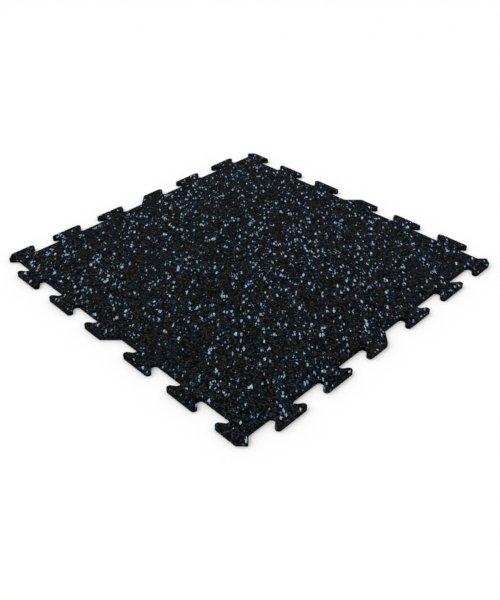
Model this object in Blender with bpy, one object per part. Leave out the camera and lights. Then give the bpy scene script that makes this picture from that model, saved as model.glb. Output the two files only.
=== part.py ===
"""Interlocking rubber floor tile: one slab cut from speckled crumb rubber.

Each side carries one row of six tabs and six sockets. The row is the reverse of itself
after half a turn about the side's middle, so any side joins any side of another tile.
Metres, +Z up. The origin is the centre of the underside, and the sides face X and Y.
"""

from math import acos, cos, pi, sin, sqrt

import bpy

# Driving dimensions
COVER_SIDE = 0.6096  # 24 in: the square that one laid tile covers
THICKNESS = 0.008
TAB_DEPTH = 0.0245  # from the foot of a socket to the face of a tab
HOOK_RADIUS = 0.0056  # round lobe of a tab's hook, and round end of the socket that takes it
JOINT_GAP = 0.0003  # play between two joined tiles
STEPS_PER_SIDE = 12  # a tab or a socket starts at each step
SIDES = 4
ARC_SEGMENTS = 6  # straight cuts that make one lobe

# The crumb rubber's look
RUBBER_COLOUR = (0.010, 0.010, 0.011, 1.0)
RUBBER_ROUGHNESS = 0.85

STEP = COVER_SIDE / STEPS_PER_SIDE
HALF_DEPTH = TAB_DEPTH / 2
MIDDLE = COVER_SIDE / 2
LOBE_SPACING = TAB_DEPTH - 2 * HOOK_RADIUS  # from a lobe's centre to its socket end's centre
FLANK_ANGLE = acos(2 * HOOK_RADIUS / LOBE_SPACING)  # the short straight flank is tangent to both


def clear_scene():
    """Removes whatever the file already holds."""
    for obj in list(bpy.data.objects):
        bpy.data.objects.remove(obj, do_unlink=True)


def arc(centre, radius, start, end):
    """Points from the angle start to the angle end, both included."""
    sweep = [start + (end - start) * i / ARC_SEGMENTS for i in range(ARC_SEGMENTS + 1)]
    return [(centre[0] + radius * cos(a), centre[1] + radius * sin(a)) for a in sweep]


def hook(along, rises, inset):
    """The S-shaped flank between a socket and a tab, at that distance along the side.

    A rising flank goes from the socket's foot round its end, and round the tab's lobe to
    the tab's face. A falling one is its mirror image, in the opposite order.
    """
    socket_end = arc(
        (0, HOOK_RADIUS - HALF_DEPTH), HOOK_RADIUS + inset, -pi / 2, pi / 2 - FLANK_ANGLE
    )
    lobe = arc(
        (0, HALF_DEPTH - HOOK_RADIUS), HOOK_RADIUS - inset, 3 * pi / 2 - FLANK_ANGLE, pi / 2
    )
    rising = [(along + x, out) for x, out in socket_end + lobe]
    if rises:
        return rising
    return [(2 * along - x, out) for x, out in reversed(rising)]


def half_row(inset):
    """Points of a side from its corner to its middle, as (distance along, distance out).

    Distance out is measured from the edge of the covered square. The corner and the slope
    at the middle run at 45 degrees, so four tiles meet at a corner in a plain cross.
    The material is held back by inset, which is negative where it grows instead.
    """
    slope_shift = inset * (sqrt(2) - 1)
    points = [(0, -inset * sqrt(2)), (HALF_DEPTH - slope_shift, -HALF_DEPTH - inset)]
    for step in range(1, STEPS_PER_SIDE // 2):
        points += hook(step * STEP, step % 2 == 1, inset)
    points.append((MIDDLE - HALF_DEPTH - slope_shift, HALF_DEPTH - inset))
    return points


def side_points():
    """A whole side: the first half, and the same half turned about the side's middle.

    A tab becomes a socket in that turn, so the second half starts from the opposite inset.
    Its last point is left out, because the next side starts with it.
    """
    inset = JOINT_GAP / 2
    turned = [(COVER_SIDE - x, -out) for x, out in reversed(half_row(-inset))]
    return half_row(inset) + turned[:-1]


def tile_outline():
    """The closed outline, anticlockwise from the south-west corner."""
    outline = []
    for side in range(SIDES):
        turn = side * 2 * pi / SIDES
        for along, out in side_points():
            x, y = along - MIDDLE, -MIDDLE - out
            outline.append((x * cos(turn) - y * sin(turn), x * sin(turn) + y * cos(turn)))
    return outline


def rubber_material():
    """Matt black crumb rubber."""
    material = bpy.data.materials.new("crumb_rubber")
    material.use_nodes = True
    shader = material.node_tree.nodes["Principled BSDF"]
    shader.inputs["Base Color"].default_value = RUBBER_COLOUR
    shader.inputs["Roughness"].default_value = RUBBER_ROUGHNESS
    shader.inputs["Metallic"].default_value = 0.0
    return material


def rubber_tile(collection):
    """The slab: the outline as a filled curve, extruded to the tile's thickness."""
    curve = bpy.data.curves.new("rubber_tile", "CURVE")
    curve.dimensions = "2D"
    curve.fill_mode = "BOTH"
    curve.extrude = THICKNESS / 2
    outline = tile_outline()
    spline = curve.splines.new("POLY")
    spline.points.add(len(outline) - 1)
    for point, (x, y) in zip(spline.points, outline):
        point.co = (x, y, 0, 1)
    spline.use_cyclic_u = True
    tile = bpy.data.objects.new("rubber_tile", curve)
    tile.location.z = THICKNESS / 2
    tile.data.materials.append(rubber_material())
    collection.objects.link(tile)
    return tile


def main():
    clear_scene()
    collection = bpy.data.collections.new("interlocking_rubber_tile")
    bpy.context.scene.collection.children.link(collection)
    rubber_tile(collection)


main()
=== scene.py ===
"""Looks of one interlocking rubber floor tile, lying on a pale studio floor.

The tile is cut from a sheet of crumb rubber: black tyre crumb bound with polyurethane,
with crumbs of light blue EPDM rubber mixed all through it. The cut walls go through the
same crumbs as the faces, so every pattern here is solid, in the tile's own coordinates.

Lengths are in metres, apart from those whose names end in _mm. +Z is up, and the origin
is the centre of the underside.
"""

from __future__ import annotations

import logging
import math
from dataclasses import dataclass, field
from enum import Enum, IntEnum
from typing import Any

import bpy
import numpy as np
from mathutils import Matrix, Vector
from mathutils.geometry import delaunay_2d_cdt


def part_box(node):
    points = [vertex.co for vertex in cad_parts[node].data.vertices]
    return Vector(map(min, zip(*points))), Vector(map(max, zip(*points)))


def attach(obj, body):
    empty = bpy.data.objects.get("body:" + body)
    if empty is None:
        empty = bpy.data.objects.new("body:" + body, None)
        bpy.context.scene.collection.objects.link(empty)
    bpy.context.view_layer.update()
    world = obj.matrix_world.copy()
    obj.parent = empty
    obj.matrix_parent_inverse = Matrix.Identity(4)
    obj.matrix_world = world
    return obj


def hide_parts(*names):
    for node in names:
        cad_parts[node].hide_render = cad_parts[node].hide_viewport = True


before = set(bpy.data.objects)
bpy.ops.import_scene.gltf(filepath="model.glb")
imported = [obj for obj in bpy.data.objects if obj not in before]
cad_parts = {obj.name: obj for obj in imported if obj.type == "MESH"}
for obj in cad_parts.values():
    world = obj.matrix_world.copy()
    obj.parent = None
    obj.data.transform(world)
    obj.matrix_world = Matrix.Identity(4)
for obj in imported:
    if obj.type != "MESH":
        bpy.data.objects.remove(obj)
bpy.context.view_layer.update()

log = logging.getLogger("rubber_tile")

MM = 0.001
TILE_NODE = "rubber_tile"
TILE_BODY = "root"


class Seed(IntEnum):
    """Picks the random numbers of one thing, which are then the same in each run."""

    WALL_RELIEF = 5
    FACE_RELIEF = 7
    WEAR_POINTS = 11
    UNDERSIDE_POINTS = 12


def linear(hex_colour: str) -> tuple[float, float, float, float]:
    """Turns an sRGB hex colour into a linear one.

    A channel of at most 0.04045 is divided by 12.92. A greater one has 0.055 added, is
    divided by 1.055 and is raised to the power 2.4.

    Args:
        hex_colour: A colour such as "#80A0C0".

    Returns:
        Red, green, blue and an alpha of 1.
    """
    channels = np.array([int(hex_colour[i : i + 2], 16) for i in (1, 3, 5)]) / 255
    curved = ((channels + 0.055) / 1.055) ** 2.4
    values = np.where(channels <= 0.04045, channels / 12.92, curved)
    return (*(float(value) for value in values), 1.0)


def per_metre(size_mm: float) -> float:
    """Returns the scale at which a texture repeats about every size_mm millimetres."""
    return 1 / (size_mm * MM)


def add(
    tree: bpy.types.NodeTree,
    kind: str,
    settings: dict[str, Any],
    inputs: dict[str | int, Any],
) -> bpy.types.Node:
    """Adds a shader node with its settings, values and links.

    Args:
        tree: The node tree that takes the node.
        kind: The node's type, without "ShaderNode".
        settings: Properties of the node and their values.
        inputs: For each input's name or number, a value, or an output to link to it.

    Returns:
        The new node.
    """
    node = tree.nodes.new(f"ShaderNode{kind}")
    for name, value in settings.items():
        setattr(node, name, value)
    for name, value in inputs.items():
        if isinstance(value, bpy.types.NodeSocket):
            tree.links.new(value, node.inputs[name])
        else:
            node.inputs[name].default_value = value
    return node


def ripple(points: np.ndarray, wavelength: float, seed: Seed) -> np.ndarray:
    """Smooth random depths, from -2 at the deepest to 0.

    Each point gets the sum of 24 cosines, each a plane wave in its own random direction,
    with its own phase and a length of 0.7 to 1.5 times wavelength. The sum is divided by
    the square root of twice their number, so its spread is one half. It is then held
    between -1 and 1, and 1 is taken off.

    Args:
        points: Places, one row of x, y and z for each.
        wavelength: The usual distance from crest to crest.
        seed: Picks one set of waves.

    Returns:
        One depth for each row.
    """
    waves, shortest, longest = 24, 0.7, 1.5
    draws = np.random.default_rng(seed)
    directions = draws.normal(size=(waves, 3))
    directions /= np.linalg.norm(directions, axis=1, keepdims=True)
    lengths = wavelength * draws.uniform(shortest, longest, (waves, 1))
    phases = draws.uniform(0, 2 * math.pi, waves)
    angles = points @ (directions * 2 * math.pi / lengths).T + phases
    return np.clip(np.cos(angles).sum(axis=1) / math.sqrt(2 * waves), -1, 1) - 1


class Flank(Enum):
    """Which way a side runs past a step: out of a socket into a tab, or back."""

    RISING = "rising"
    FALLING = "falling"


@dataclass(frozen=True)
class Outline:
    """The tile's outline in plan: six tabs and six sockets along each of four sides.

    Attributes:
        cover_side: The side of the square that one laid tile covers.
        tab_depth: From the foot of a socket to the face of a tab.
        hook_radius: A tab's round lobe, and the round end of a socket.
        joint_gap: Play between two joined tiles.
        steps: Tabs and sockets along one side.
        arc_cuts: Straight cuts that make one round stretch.
    """

    cover_side: float = 0.6096
    tab_depth: float = 0.0245
    hook_radius: float = 0.0056
    joint_gap: float = 0.0003
    steps: int = 12
    arc_cuts: int = 13

    def arc(self, centre_out: float, radius: float, start: float, end: float) -> np.ndarray:
        """Points on part of a circle: its centre, plus the radius times cosine and sine.

        Args:
            centre_out: How far out of the square the centre lies. Along the side it is
                at zero.
            radius: The circle's radius.
            start: The first point's angle from the direction along the side.
            end: The last point's angle.

        Returns:
            Rows of distance along and distance out.
        """
        angles = np.linspace(start, end, self.arc_cuts + 1)
        across, out = radius * np.cos(angles), centre_out + radius * np.sin(angles)
        return np.column_stack([across, out])

    def flank(self, kind: Flank, inset: float) -> np.ndarray:
        """The S between a socket and a tab: two arcs that share one tangent.

        The tangent's angle has the cosine of the sum of the radii over the distance
        between the centres. A falling flank is a rising one mirrored and reversed.

        Args:
            kind: Which way the side runs.
            inset: How far the rubber is held back, negative where it grows.

        Returns:
            Rows of distance along and distance out, from the flank's own step.
        """
        middle_out = self.tab_depth / 2 - self.hook_radius
        tangent = math.acos(self.hook_radius / middle_out)
        quarter = math.pi / 2
        socket_end = self.arc(
            -middle_out, self.hook_radius + inset, -quarter, quarter - tangent
        )
        lobe = self.arc(
            middle_out, self.hook_radius - inset, 3 * quarter - tangent, quarter
        )
        rising = np.vstack([socket_end, lobe])
        return rising if kind is Flank.RISING else rising[::-1] * (-1, 1)

    def half_side(self, inset: float) -> np.ndarray:
        """A side from its corner to its middle, both of which are 45 degree slopes.

        Between them the flanks rise and fall by turns, one at each step. A slope moves
        along by inset times the square root of two less one, so that it meets the
        straight faces at the right place.

        Args:
            inset: How far the rubber is held back, negative where it grows.

        Returns:
            Rows of distance along from the corner and distance out of the square.
        """
        slope_shift = inset * (math.sqrt(2) - 1)
        half_depth, middle = self.tab_depth / 2, self.cover_side / 2
        step = self.cover_side / self.steps
        corner = [(0, -inset * math.sqrt(2)), (half_depth - slope_shift, -half_depth - inset)]
        kinds = (Flank.FALLING, Flank.RISING)
        flanks = [
            self.flank(kinds[count % 2], inset) + (count * step, 0)
            for count in range(1, self.steps // 2)
        ]
        head = [(middle - half_depth - slope_shift, half_depth - inset)]
        return np.vstack([corner, *flanks, head])

    def ring(self) -> np.ndarray:
        """The closed outline, anticlockwise from the corner where X and Y are least.

        Each side is one half and the same half turned about the side's middle, which
        makes its sockets tabs, and the four sides are quarter turns of one.

        Returns:
            Rows of x and y.
        """
        inset = self.joint_gap / 2
        turned = (self.cover_side, 0) - self.half_side(-inset)[::-1]
        side = np.vstack([self.half_side(inset), turned[:-1]])
        south = (side + (-self.cover_side / 2, self.cover_side / 2)) * (1, -1)
        sides = 4
        turns = np.arange(sides) * math.pi / 2
        x = np.outer(np.cos(turns), south[:, 0]) - np.outer(np.sin(turns), south[:, 1])
        y = np.outer(np.sin(turns), south[:, 0]) + np.outer(np.cos(turns), south[:, 1])
        return np.column_stack([x.ravel(), y.ravel()])


def divided(ring: np.ndarray, pitch: float) -> np.ndarray:
    """Cuts each straight run of a closed ring into equal parts no longer than pitch.

    A new point lies on its run at the whole number of parts before it over the number of
    parts in the run, so every corner stays.

    Args:
        ring: Rows of x and y.
        pitch: The longest part allowed.

    Returns:
        The ring with its new points.
    """
    runs = np.roll(ring, -1, axis=0) - ring
    parts = np.ceil(np.linalg.norm(runs, axis=1) / pitch).astype(int)
    run = np.repeat(np.arange(len(ring)), parts)
    before = np.arange(len(run)) - (np.cumsum(parts) - parts)[run]
    return ring[run] + runs[run] * (before / parts[run])[:, None]


def worn(ring: np.ndarray, passes: int) -> np.ndarray:
    """Takes the sharp points off a closed ring's corners.

    In each pass a point moves to half of itself and a quarter of each neighbour.

    Args:
        ring: Rows of x and y.
        passes: How often each point moves.

    Returns:
        The ring, rounder at its corners.
    """
    for _ in range(passes):
        ring = ring / 2 + (np.roll(ring, 1, axis=0) + np.roll(ring, -1, axis=0)) / 4
    return ring


def outward(ring: np.ndarray) -> np.ndarray:
    """The direction in which each point of an anticlockwise ring moves outwards.

    It is the sum of the normals of the two runs that meet there, over one plus their
    product, so that a ring moved along it keeps its walls the same distance away.

    Args:
        ring: Rows of x and y.

    Returns:
        One row of x and y for each point.
    """
    runs = np.roll(ring, -1, axis=0) - ring
    runs /= np.linalg.norm(runs, axis=1, keepdims=True)
    after = np.column_stack([runs[:, 1], -runs[:, 0]])
    before = np.roll(after, 1, axis=0)
    return (before + after) / (1 + (before * after).sum(axis=1, keepdims=True))


def well_inside(points: np.ndarray, ring: np.ndarray, margin: float) -> np.ndarray:
    """Tells which points lie inside a ring and further than margin from it.

    A point is inside if a ray from it along +X crosses the ring an odd number of times.
    A run that is parallel to X counts as never crossed. A point's distance from a run is
    that from its nearest point on the run.

    Args:
        points: Rows of x and y.
        ring: Rows of x and y.
        margin: The distance from the ring that a point has to pass.

    Returns:
        True or False for each point.
    """
    start, end = ring, np.roll(ring, -1, axis=0)
    run = end - start
    kept = []
    at_a_time = 400
    for some in np.array_split(points, max(1, len(points) // at_a_time)):
        reach = some[:, None] - start
        spans = (start[:, 1] > some[:, 1:]) != (end[:, 1] > some[:, 1:])
        slope = run[:, 0] / np.where(run[:, 1] == 0, 1, run[:, 1])
        crossed = spans & (reach[..., 0] < slope * reach[..., 1])
        share = np.clip((reach * run).sum(axis=2) / (run * run).sum(axis=1), 0, 1)
        away = np.linalg.norm(reach - share[..., None] * run, axis=2).min(axis=1)
        kept.append((crossed.sum(axis=1) % 2 == 1) & (away > margin))
    return np.concatenate(kept)


def lattice(outline: Outline, ring: np.ndarray, pitch: float, seed: Seed) -> np.ndarray:
    """Points spread over the tile's face, in rows that are half a pitch out of step.

    The rows are the pitch times half the square root of three apart, so that a point's
    six neighbours are equally far. Each point is then moved at random by up to a fifth of
    the pitch along X and along Y, so that no line of them shows. Only points near the
    ring are tested against it.

    Args:
        outline: The tile's outline.
        ring: The face's own edge, rows of x and y.
        pitch: The distance between neighbours.
        seed: Picks the random moves.

    Returns:
        Rows of x and y.
    """
    half = outline.cover_side / 2 + outline.tab_depth / 2
    rows = np.arange(-half, half, pitch * math.sqrt(3) / 2)
    places = np.arange(-half, half, pitch)
    x, y = np.meshgrid(places, rows)
    x[1::2] += pitch / 2
    points = np.column_stack([x.ravel(), y.ravel()])
    stray = pitch / 5
    points += np.random.default_rng(seed).uniform(-stray, stray, points.shape)
    sockets_foot = outline.cover_side / 2 - outline.tab_depth / 2
    core = np.abs(points).max(axis=1) < sockets_foot - pitch
    kept = core.copy()
    kept[~core] = well_inside(points[~core], ring, pitch / 2)
    return points[kept]


def fill(ring: np.ndarray, inner: np.ndarray) -> np.ndarray:
    """Joins a ring and the points inside it into triangles, by Delaunay's rule.

    A triangle faces +Z if the cross product of its two sides from its first corner is
    positive. The corners of any other are put in the reverse order.

    Args:
        ring: Rows of x and y, anticlockwise.
        inner: Rows of x and y, all inside the ring.

    Returns:
        Rows of three point numbers, those of the ring first, facing +Z.
    """
    points = np.vstack([ring, inner])
    border = [list(range(len(ring)))]
    inside_only, tolerance = 1, 1e-9
    found = delaunay_2d_cdt(points.tolist(), [], border, inside_only, tolerance)
    number = np.array([ids[0] for ids in found[3]])
    triangles = number[np.array(found[2])]
    start, middle, end = (points[triangles[:, corner]] for corner in range(3))
    one, other = middle - start, end - start
    turn = one[:, 0] * other[:, 1] - one[:, 1] * other[:, 0]
    return np.where((turn > 0)[:, None], triangles, triangles[:, ::-1])


@dataclass(frozen=True)
class FleckGrade:
    """One grade of blue EPDM crumb, as a sieve would sort it.

    Attributes:
        pitch_mm: The usual distance between crumbs of any colour of this grade.
        share: The share of them that is blue, where the mix has least and most.
        radius: The smallest and largest fleck, as a share of the pitch.
        bare: How much of its colour the smallest and the largest fleck show through
            the film of black binder.
    """

    pitch_mm: float
    share: tuple[float, float]
    radius: tuple[float, float]
    bare: tuple[float, float]


@dataclass(frozen=True)
class Grain:
    """What lies at a place in the rubber, as outputs of its material's nodes.

    Attributes:
        tree: The material's node tree.
        ragged: Coordinates that give the flecks ragged edges.
        richness: How many blue crumbs the mix has there, from 0 for fewest to 1.
        normal: The surface's normal, in the tile's own axes.
        paleness: A random number that is the same all over one black crumb.
        dullness: Another such number.
        crown: 0 in the seams between black crumbs, and 1 on the crumbs.
        grit: The fine grain, as a noise about one half.
        pore: 0 outside the pores, and 1 in the depth of one.
    """

    tree: bpy.types.NodeTree
    ragged: bpy.types.NodeSocket
    richness: bpy.types.NodeSocket
    normal: bpy.types.NodeSocket
    paleness: bpy.types.NodeSocket
    dullness: bpy.types.NodeSocket
    crown: bpy.types.NodeSocket
    grit: bpy.types.NodeSocket
    pore: bpy.types.NodeSocket


@dataclass(frozen=True)
class CrumbRubber:
    """Crumb rubber floor sheet: ground tyre rubber and EPDM flecks, bound and sliced.

    Slicing cuts each crumb flush, so a fleck is a flat chip of colour with a ragged
    edge. The rubber is matt and all but black, and has hardly any shine. The seams and
    pores between crumbs are sunk in the relief, and their colour is darkened as painted
    shade. On the walls, which face sideways, the colour is darker than on the faces,
    and the flecks show less.

    Attributes:
        crumb_mm: A crumb of black rubber.
        crumb_warp_mm: How far the seams between black crumbs wander.
        black_low: The darkest black crumb.
        black_high: The palest black crumb where the mix has fewest blue crumbs, and where
            it has most and their dust tints the binder.
        black_rarity: The power that a crumb's random paleness is raised to, so that few
            crumbs are pale.
        tones: The flecks' colours, each as common as the others.
        scuff: How much lighter or darker the grit makes the colour.
        grades: The grades of fleck.
        fleck_edge: Where a fleck's colour starts and is full, as shares of the pitch in
            from its edge.
        cluster_mm: The distance over which the mix goes from few flecks to many.
        noise_span: The low and high values that a noise seldom passes.
        broad_detail: The Detail of the noises that shape the flecks and their clusters.
        fine_detail: The Detail of the noises that shape the grit and the pores.
        grain_turn: The angle from +X of the flecks' short axis.
        grain_stretch: A fleck's length over its width.
        ragged_mm: The size of the notches in a fleck's edge.
        ragged_depth_mm: How deep the notches are.
        seam_depth_mm: How deep the seams are.
        seam_width: How wide half a seam is, as a share of a crumb.
        seam_painted_shade: Painted shade: how much darker the colour is in a seam.
        grit_mm: The fine grain that slicing leaves on every crumb.
        grit_height: The grit's height over the depth of a seam.
        pore_mm: The usual distance between pores.
        pore_rim: The noise value at a pore's rim and at its foot.
        pore_depth: The depth of a pore over that of a seam.
        pore_painted_shade: Painted shade: how much darker the colour is in a pore.
        roughness: The least and the most rough crumb.
        specular: The Specular IOR Level, low because the grit scatters what shines.
        ior: The usual value for rubber.
        wall_turn: How upright a normal is, as the size of its Z, where a surface counts
            as a wall and where it counts as a face.
        wall_bare: How much of its colour a fleck shows on a wall.
        wall_shade: The colour of a wall over that of a face.
    """

    crumb_mm: float = 2.4
    crumb_warp_mm: float = 0.7
    black_low: str = "#010203"
    black_high: tuple[str, str] = ("#3F3A35", "#1F3A4D")
    black_rarity: float = 3.5
    tones: tuple[str, ...] = (
        "#90B4D5",
        "#9EBEDA",
        "#95B3D0",
        "#ACC6DE",
        "#A1B8D2",
        "#A9BFD4",
    )
    scuff: float = 0.35
    grades: tuple[FleckGrade, ...] = (
        FleckGrade(pitch_mm=4.0, share=(0.01, 0.345), radius=(0.24, 0.52), bare=(0.45, 1.0)),
        FleckGrade(pitch_mm=2.5, share=(0.01, 0.1), radius=(0.26, 0.46), bare=(0.25, 0.85)),
    )
    fleck_edge: tuple[float, float] = (-0.02, 0.03)
    cluster_mm: float = 12.0
    noise_span: tuple[float, float] = (0.3, 0.7)
    broad_detail: float = 1.0
    fine_detail: float = 3.0
    grain_turn: float = math.pi / 4
    grain_stretch: float = 2.1
    ragged_mm: float = 2.4
    ragged_depth_mm: float = 2.4
    seam_depth_mm: float = 0.3
    seam_width: float = 0.16
    seam_painted_shade: float = 0.4
    grit_mm: float = 0.7
    grit_height: float = 0.8
    pore_mm: float = 1.7
    pore_rim: tuple[float, float] = (0.58, 0.66)
    pore_depth: float = 1.2
    pore_painted_shade: float = 0.6
    roughness: tuple[float, float] = (0.74, 0.92)
    specular: float = 0.042
    ior: float = 1.52
    wall_turn: tuple[float, float] = (0.4, 0.9)
    wall_bare: float = 0.3
    wall_shade: float = 0.55

    def richness(
        self, tree: bpy.types.NodeTree, place: bpy.types.NodeSocket
    ) -> bpy.types.NodeSocket:
        """Tells how many blue crumbs the mix has at a place.

        It is a noise, whose usual span is spread over 0 to 1.

        Args:
            tree: The material's node tree.
            place: The place's coordinates.

        Returns:
            A number from 0 for fewest to 1 for most.
        """
        noise = add(
            tree,
            "TexNoise",
            {},
            {
                "Vector": place,
                "Scale": per_metre(self.cluster_mm),
                "Detail": self.broad_detail,
            },
        )
        low, high = self.noise_span
        spread = {"Value": noise.outputs["Fac"], "From Min": low, "From Max": high}
        return add(tree, "MapRange", {}, spread).outputs[0]

    def grain(self, tree: bpy.types.NodeTree) -> Grain:
        """Lays out the crumbs, the grit and the pores.

        A noise of three channels, less one half and times twice a depth, is added to the
        coordinates, so that edges wander by up to about that depth.

        Args:
            tree: The material's node tree.

        Returns:
            What lies at each place.
        """
        coordinates = add(tree, "TexCoord", {}, {})
        own = coordinates.outputs["Object"]
        drawn_out = add(
            tree,
            "Mapping",
            {"vector_type": "TEXTURE"},
            {
                "Vector": own,
                "Rotation": (0, 0, self.grain_turn),
                "Scale": (1, self.grain_stretch, 1),
            },
        ).outputs[0]
        wander = add(
            tree,
            "TexNoise",
            {},
            {
                "Vector": drawn_out,
                "Scale": per_metre(self.ragged_mm),
                "Detail": self.broad_detail,
            },
        )
        one_half = (0.5, 0.5, 0.5)
        centred = add(
            tree,
            "VectorMath",
            {"operation": "SUBTRACT"},
            {0: wander.outputs["Color"], 1: one_half},
        ).outputs[0]
        wanders = ((self.ragged_depth_mm, drawn_out), (self.crumb_warp_mm, own))
        ragged, crumbly = (
            add(
                tree,
                "VectorMath",
                {"operation": "MULTIPLY_ADD"},
                {0: centred, 1: (depth_mm * MM * 2,) * 3, 2: start},
            ).outputs[0]
            for depth_mm, start in wanders
        )
        crumbs, seams = (
            add(
                tree,
                "TexVoronoi",
                {"feature": feature},
                {"Vector": crumbly, "Scale": per_metre(self.crumb_mm)},
            )
            for feature in ("F1", "DISTANCE_TO_EDGE")
        )
        draw = add(tree, "SeparateColor", {}, {"Color": crumbs.outputs["Color"]})
        crown = add(
            tree,
            "MapRange",
            {"interpolation_type": "SMOOTHSTEP"},
            {"Value": seams.outputs["Distance"], "From Max": self.seam_width},
        )
        grit, hollows = (
            add(
                tree,
                "TexNoise",
                {},
                {"Vector": own, "Scale": per_metre(size_mm), "Detail": self.fine_detail},
            ).outputs["Fac"]
            for size_mm in (self.grit_mm, self.pore_mm)
        )
        pore = add(
            tree,
            "MapRange",
            {"interpolation_type": "SMOOTHSTEP"},
            {"Value": hollows, "From Min": self.pore_rim[0], "From Max": self.pore_rim[1]},
        )
        return Grain(
            tree=tree,
            ragged=ragged,
            richness=self.richness(tree, ragged),
            normal=coordinates.outputs["Normal"],
            paleness=draw.outputs[0],
            dullness=draw.outputs[1],
            crown=crown.outputs[0],
            grit=grit,
            pore=pore.outputs[0],
        )

    def flecks(
        self, grain: Grain, grade: FleckGrade
    ) -> tuple[bpy.types.NodeSocket, bpy.types.NodeSocket]:
        """Scatters one grade of flecks.

        Space is split into one cell for each crumb, and a cell is blue if its own random
        number is under the local share. The fleck is what lies within its own radius of
        the cell's centre, so the cell's walls cut some flecks square.

        Args:
            grain: What lies at each place.
            grade: The grade to scatter.

        Returns:
            How much of a fleck there is, and a random number for its colour.
        """
        tree = grain.tree
        cells = add(
            tree,
            "TexVoronoi",
            {},
            {"Vector": grain.ragged, "Scale": per_metre(grade.pitch_mm)},
        )
        draw = add(tree, "SeparateColor", {}, {"Color": cells.outputs["Color"]})
        richness = self.richness(tree, cells.outputs["Position"])
        share = add(
            tree,
            "MapRange",
            {},
            {"Value": richness, "To Min": grade.share[0], "To Max": grade.share[1]},
        )
        blue = add(
            tree,
            "Math",
            {"operation": "LESS_THAN"},
            {0: draw.outputs[0], 1: share.outputs[0]},
        )
        radius, bare = (
            add(
                tree,
                "MapRange",
                {},
                {"Value": draw.outputs[1], "To Min": least, "To Max": most},
            )
            for least, most in (grade.radius, grade.bare)
        )
        depth = add(
            tree,
            "Math",
            {"operation": "SUBTRACT"},
            {0: radius.outputs[0], 1: cells.outputs["Distance"]},
        )
        edge = add(
            tree,
            "MapRange",
            {"interpolation_type": "SMOOTHSTEP"},
            {
                "Value": depth.outputs[0],
                "From Min": self.fleck_edge[0],
                "From Max": self.fleck_edge[1],
            },
        )
        amount = edge.outputs[0]
        for factor in (blue, bare):
            amount = add(
                tree, "Math", {"operation": "MULTIPLY"}, {0: amount, 1: factor.outputs[0]}
            ).outputs[0]
        return amount, draw.outputs[2]

    def tone(
        self, tree: bpy.types.NodeTree, random: bpy.types.NodeSocket
    ) -> bpy.types.NodeSocket:
        """Picks one of the flecks' colours.

        Args:
            tree: The material's node tree.
            random: A random number from 0 to 1, the same all over one fleck.

        Returns:
            The fleck's colour.
        """
        ramp = add(tree, "ValToRGB", {}, {"Fac": random})
        ramp.color_ramp.interpolation = "CONSTANT"
        stops = ramp.color_ramp.elements
        while len(stops) < len(self.tones):
            stops.new(position=1.0)
        for number, hex_colour in enumerate(self.tones):
            stops[number].position = number / len(self.tones)
            stops[number].color = linear(hex_colour)
        return ramp.outputs[0]

    def colour(
        self,
        grain: Grain,
        flecks: list[tuple[bpy.types.NodeSocket, bpy.types.NodeSocket]],
        crown: bpy.types.NodeSocket,
    ) -> bpy.types.NodeSocket:
        """Lays the flecks over the black crumbs, and shades both.

        The shades are factors: one for a wall, which is 1 on a face, one for the grit, and
        one each for the painted shade in the seams and in the pores.

        Args:
            grain: What lies at each place.
            flecks: For each grade, how much of a fleck there is, and its random number.
            crown: 0 in the seams, and 1 on crumbs and flecks.

        Returns:
            The rubber's colour.
        """
        tree = grain.tree
        rare = add(
            tree, "Math", {"operation": "POWER"}, {0: grain.paleness, 1: self.black_rarity}
        )
        few, many = (linear(hex_colour) for hex_colour in self.black_high)
        palest = add(
            tree, "Mix", {"data_type": "RGBA"}, {0: grain.richness, 6: few, 7: many}
        ).outputs[2]
        colour = add(
            tree,
            "Mix",
            {"data_type": "RGBA"},
            {0: rare.outputs[0], 6: linear(self.black_low), 7: palest},
        ).outputs[2]

        facing = add(tree, "SeparateXYZ", {}, {"Vector": grain.normal})
        level = add(tree, "Math", {"operation": "ABSOLUTE"}, {0: facing.outputs["Z"]})
        unit = (0.0, 1.0)
        bare, wall, scuffed, seam, painted_pore_shade = (
            add(
                tree,
                "MapRange",
                {},
                {
                    "Value": value,
                    "From Min": span[0],
                    "From Max": span[1],
                    "To Min": low,
                    "To Max": high,
                },
            ).outputs[0]
            for value, span, low, high in (
                # The wall factors make a surface that faces sideways darker, and its flecks
                # fainter, than a face.
                (level.outputs[0], self.wall_turn, self.wall_bare, 1.0),
                (level.outputs[0], self.wall_turn, self.wall_shade, 1.0),
                (grain.grit, self.noise_span, 1 - self.scuff, 1 + self.scuff),
                # The seam and pore factors are painted shade, darker where the relief sinks.
                (crown, unit, 1 - self.seam_painted_shade, 1.0),
                (grain.pore, unit, 1.0, 1 - self.pore_painted_shade),
            )
        )
        for amount, random in flecks:
            seen = add(tree, "Math", {"operation": "MULTIPLY"}, {0: amount, 1: bare})
            colour = add(
                tree,
                "Mix",
                {"data_type": "RGBA"},
                {0: seen.outputs[0], 6: colour, 7: self.tone(tree, random)},
            ).outputs[2]
        for shade in (wall, scuffed, seam, painted_pore_shade):
            colour = add(
                tree, "VectorMath", {"operation": "SCALE"}, {0: colour, "Scale": shade}
            ).outputs[0]
        return colour

    def relief(self, grain: Grain, crown: bpy.types.NodeSocket) -> bpy.types.NodeSocket:
        """Sinks the seams and pores, and raises the grit.

        The height is the crown, plus the grit and less the pore, each times its own
        height.

        Args:
            grain: What lies at each place.
            crown: 0 in the seams, and 1 on crumbs and flecks.

        Returns:
            The shaded normal.
        """
        height = crown
        for shape, weight in ((grain.grit, self.grit_height), (grain.pore, -self.pore_depth)):
            height = add(
                grain.tree,
                "Math",
                {"operation": "MULTIPLY_ADD"},
                {0: shape, 1: weight, 2: height},
            ).outputs[0]
        bump = add(
            grain.tree,
            "Bump",
            {},
            {"Height": height, "Distance": self.seam_depth_mm * MM},
        )
        return bump.outputs[0]

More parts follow.
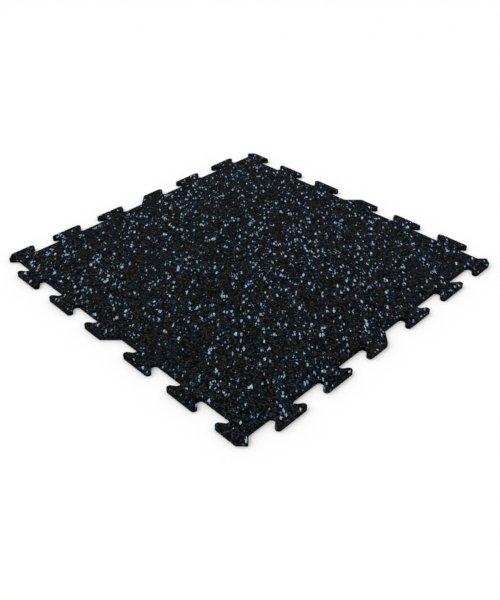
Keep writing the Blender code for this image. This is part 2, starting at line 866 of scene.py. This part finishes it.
    def material(self) -> bpy.types.Material:
        """Builds the rubber's material.

        Returns:
            The material, which reads only the tile's own coordinates.
        """
        material = bpy.data.materials.new("crumb_rubber_epdm_fleck")
        material.use_nodes = True
        tree = material.node_tree
        shader = tree.nodes["Principled BSDF"]
        shader.inputs["Specular IOR Level"].default_value = self.specular
        shader.inputs["IOR"].default_value = self.ior
        grain = self.grain(tree)
        flecks = [self.flecks(grain, grade) for grade in self.grades]
        crown = grain.crown
        for amount, _ in flecks:
            crown = add(
                tree, "Math", {"operation": "MAXIMUM"}, {0: crown, 1: amount}
            ).outputs[0]
        least, most = self.roughness
        roughness = add(
            tree,
            "MapRange",
            {},
            {"Value": grain.dullness, "To Min": least, "To Max": most},
        )
        tree.links.new(self.colour(grain, flecks, crown), shader.inputs["Base Color"])
        tree.links.new(roughness.outputs[0], shader.inputs["Roughness"])
        tree.links.new(self.relief(grain, crown), shader.inputs["Normal"])
        return material


@dataclass
class RubberTile:
    """The tile: one closed sheet, cut through by its outline.

    Attributes:
        thickness: From the underside to the wear face.
        outline: The outline in plan.
        edge_radius: How round the two rims are.
        rim_cuts: Straight cuts that make one rim's quarter circle.
        wall_cuts: Rows of faces between the two rims.
        ring_pitch: The distance between points along the outline.
        corner_passes: How often the outline's corners are worn.
        wear_pitch: The distance between points on the wear face.
        underside_pitch: The distance between points on the underside.
        face_relief: Half the depth to which the wear face sinks.
        face_wave: The usual distance from crest to crest on the wear face.
        wall_relief: Half the depth to which the cut wall sinks.
        wall_wave: The usual distance from crest to crest on the wall.
        sharp_angle: Faces that meet at more than this are shaded as an edge.
    """

    thickness: float
    outline: Outline = field(default_factory=Outline)
    edge_radius: float = 0.0005
    rim_cuts: int = 3
    wall_cuts: int = 4
    ring_pitch: float = 0.0013
    corner_passes: int = 2
    wear_pitch: float = 0.0031
    underside_pitch: float = 0.007
    face_relief: float = 0.00006
    face_wave: float = 0.014
    wall_relief: float = 0.00012
    wall_wave: float = 0.003
    sharp_angle: float = math.radians(40)

    def profile(self) -> np.ndarray:
        """The wall's section, from the underside to the wear face.

        Its ends are quarter circles of the edge radius, and between them it is upright.

        Returns:
            Rows of distance in from the outline and height.
        """
        turn = np.linspace(0, math.pi / 2, self.rim_cuts + 1)
        inset = self.edge_radius * (1 - np.sin(turn))
        height = self.edge_radius * (1 - np.cos(turn))
        rim = np.column_stack([inset, height])
        wall_top = self.thickness - self.edge_radius
        rows = np.linspace(self.edge_radius, wall_top, self.wall_cuts + 1)[1:-1]
        wall = np.column_stack([np.zeros(len(rows)), rows])
        top = rim[::-1] * (1, -1) + (0, self.thickness)
        return np.vstack([rim, wall, top])

    def build(self) -> bpy.types.Object:
        """Builds the tile's mesh: the profile carried round the outline, and two faces.

        A point of the wall is the outline's point, less its outward direction times the
        profile's distance in. A fine ripple sinks the wall, and a longer one sinks the
        wear face. The underside stays flat. Each of the wall's quads is cut into two
        triangles, and the faces are filled with triangles that share the wall's points.

        Returns:
            The tile, at the origin.
        """
        ring = worn(divided(self.outline.ring(), self.ring_pitch), self.corner_passes)
        profile = self.profile()
        rows, count = len(profile), len(ring)
        away = outward(ring)
        wall = np.empty((rows, count, 3))
        wall[..., :2] = ring - away * profile[:, :1, None]
        wall[..., 2] = profile[:, 1:]
        sunk = ripple(wall.reshape(-1, 3), self.wall_wave, Seed.WALL_RELIEF)
        wall[..., :2] += self.wall_relief * sunk.reshape(rows, count, 1) * away

        top, bottom = wall[-1, :, :2], wall[0, :, :2]
        wear_inner = lattice(self.outline, top, self.wear_pitch, Seed.WEAR_POINTS)
        under_inner = lattice(
            self.outline, bottom, self.underside_pitch, Seed.UNDERSIDE_POINTS
        )
        wear = np.column_stack([wear_inner, np.full(len(wear_inner), self.thickness)])
        under = np.column_stack([under_inner, np.zeros(len(under_inner))])
        wear[:, 2] += self.face_relief * ripple(wear, self.face_wave, Seed.FACE_RELIEF)

        here = np.arange((rows - 1) * count).reshape(rows - 1, count)
        beside = np.roll(here, -1, axis=1)
        quads = np.stack([here, beside, beside + count, here + count], axis=-1).reshape(-1, 4)
        halves = ([0, 1, 2], [0, 2, 3])
        walls = np.vstack([quads[:, half] for half in halves])
        wear_faces = fill(top, wear_inner) + (rows - 1) * count
        under_faces = fill(bottom, under_inner)[:, ::-1]
        under_start = rows * count + len(wear)
        under_faces = np.where(
            under_faces < count, under_faces, under_faces - count + under_start
        )
        vertices = np.vstack([wall.reshape(-1, 3), wear, under])
        triangles = np.vstack([walls, wear_faces, under_faces])

        mesh = bpy.data.meshes.new("crumb_rubber_tile")
        mesh.from_pydata(vertices, [], triangles)
        mesh.validate()
        mesh.shade_smooth()
        mesh.set_sharp_from_angle(angle=self.sharp_angle)
        tile = bpy.data.objects.new("crumb_rubber_tile", mesh)
        bpy.context.scene.collection.objects.link(tile)
        return tile

    def dress(self, tile: bpy.types.Object, finish: CrumbRubber) -> None:
        """Gives the tile its finish and puts it in the frame in place of the CAD node.

        Args:
            tile: The tile's object.
            finish: The rubber that the tile is made of.
        """
        tile.data.materials.append(finish.material())
        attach(tile, TILE_BODY)
        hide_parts(TILE_NODE)


@dataclass(frozen=True)
class Studio:
    """A pale floor, soft light and the camera.

    Attributes:
        floor_half: Half the floor's side.
        floor_colour: The floor's paint.
        floor_roughness: How matt the paint is.
        floor_specular: The paint's Specular IOR Level.
        sky_colour: The sky's colour, the same all over.
        sky_strength: How bright the sky is as a light.
        horizon_strength: How bright the camera sees it.
        key_spread: The angle that the lamp fills, wide for soft shadows.
        key_view: The direction in which the lamp shines.
        key_strength: The lamp's power on each square metre.
        sensor_mm: The camera's sensor, along the longer side of the picture.
        lens_mm: The camera's focal length.
        near: The nearest distance that the camera shows.
        camera_place: Where the camera stands.
        camera_view: The direction in which it looks.
    """

    floor_half: float = 14.0
    floor_colour: str = "#FAFAFA"
    floor_roughness: float = 0.95
    floor_specular: float = 0.1
    sky_colour: str = "#FFFFFF"
    sky_strength: float = 0.62
    horizon_strength: float = 0.99
    key_spread: float = math.radians(80)
    key_view: tuple[float, float, float] = (0.25, 0.3, -1.0)
    key_strength: float = 1.44
    sensor_mm: float = 36.0
    lens_mm: float = 41.93
    near: float = 0.01
    camera_place: tuple[float, float, float] = (0.7390, -0.7397, 0.7141)
    camera_view: tuple[float, float, float] = (-0.5595, 0.5637, -0.6076)

    def build_floor(self) -> None:
        """Lays the floor: a flat grid at height zero, painted matt.

        Matt paint shows the tile's soft shadow, and no image of the tile.
        """
        across = 3
        edge = np.linspace(-self.floor_half, self.floor_half, across)
        x, y = np.meshgrid(edge, edge)
        vertices = np.column_stack([x.ravel(), y.ravel(), np.zeros(x.size)])
        first = np.arange(x.size).reshape(x.shape)[:-1, :-1].ravel()
        faces = np.column_stack([first, first + 1, first + across + 1, first + across])
        mesh = bpy.data.meshes.new("studio_floor")
        mesh.from_pydata(vertices, [], faces)
        floor = bpy.data.objects.new("studio_floor", mesh)
        bpy.context.scene.collection.objects.link(floor)
        material = bpy.data.materials.new("matt_floor_paint")
        material.use_nodes = True
        shader = material.node_tree.nodes["Principled BSDF"]
        shader.inputs["Base Color"].default_value = linear(self.floor_colour)
        shader.inputs["Roughness"].default_value = self.floor_roughness
        shader.inputs["Specular IOR Level"].default_value = self.floor_specular
        mesh.materials.append(material)

    def build_light(self) -> None:
        """Lights the scene: an even white sky, and one wide soft lamp above.

        The sky is as pale as the floor where the camera sees it, so that no horizon
        shows in a low view, and darker as a light.
        """
        scene = bpy.context.scene
        scene.world = bpy.data.worlds.new("studio_sky")
        scene.world.use_nodes = True
        tree = scene.world.node_tree
        light = add(tree, "Background", {}, {"Strength": self.sky_strength})
        seen = add(tree, "Background", {}, {"Strength": self.horizon_strength})
        for sky in (light, seen):
            sky.inputs["Color"].default_value = linear(self.sky_colour)
        eye = add(tree, "LightPath", {}, {}).outputs["Is Camera Ray"]
        both = add(tree, "MixShader", {}, {0: eye, 1: light.outputs[0], 2: seen.outputs[0]})
        tree.links.new(both.outputs[0], tree.nodes["World Output"].inputs["Surface"])
        lamp = bpy.data.lights.new("soft_key", "SUN")
        lamp.angle = self.key_spread
        lamp.energy = self.key_strength
        key = bpy.data.objects.new("soft_key", lamp)
        key.rotation_euler = Vector(self.key_view).to_track_quat("-Z", "Y").to_euler()
        scene.collection.objects.link(key)

    def build_camera(self) -> None:
        """Stands the camera where the photograph was taken from."""
        data = bpy.data.cameras.new("camera")
        data.lens = self.lens_mm
        data.sensor_width = self.sensor_mm
        data.clip_start = self.near
        camera = bpy.data.objects.new("camera", data)
        camera.location = self.camera_place
        camera.rotation_euler = Vector(self.camera_view).to_track_quat("-Z", "Y").to_euler()
        bpy.context.scene.collection.objects.link(camera)
        bpy.context.scene.camera = camera
        bpy.context.scene.view_settings.view_transform = "Standard"


def main() -> None:
    """Builds the studio and the tile."""
    logging.basicConfig(level=logging.INFO, format="%(name)s: %(message)s")
    studio = Studio()
    studio.build_camera()
    studio.build_floor()
    studio.build_light()
    low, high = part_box(TILE_NODE)
    tile = RubberTile(thickness=high.z - low.z)
    piece = tile.build()
    tile.dress(piece, CrumbRubber())
    log.info("%s: %d triangles", piece.name, len(piece.data.polygons))


if __name__ == "__main__":
    main()
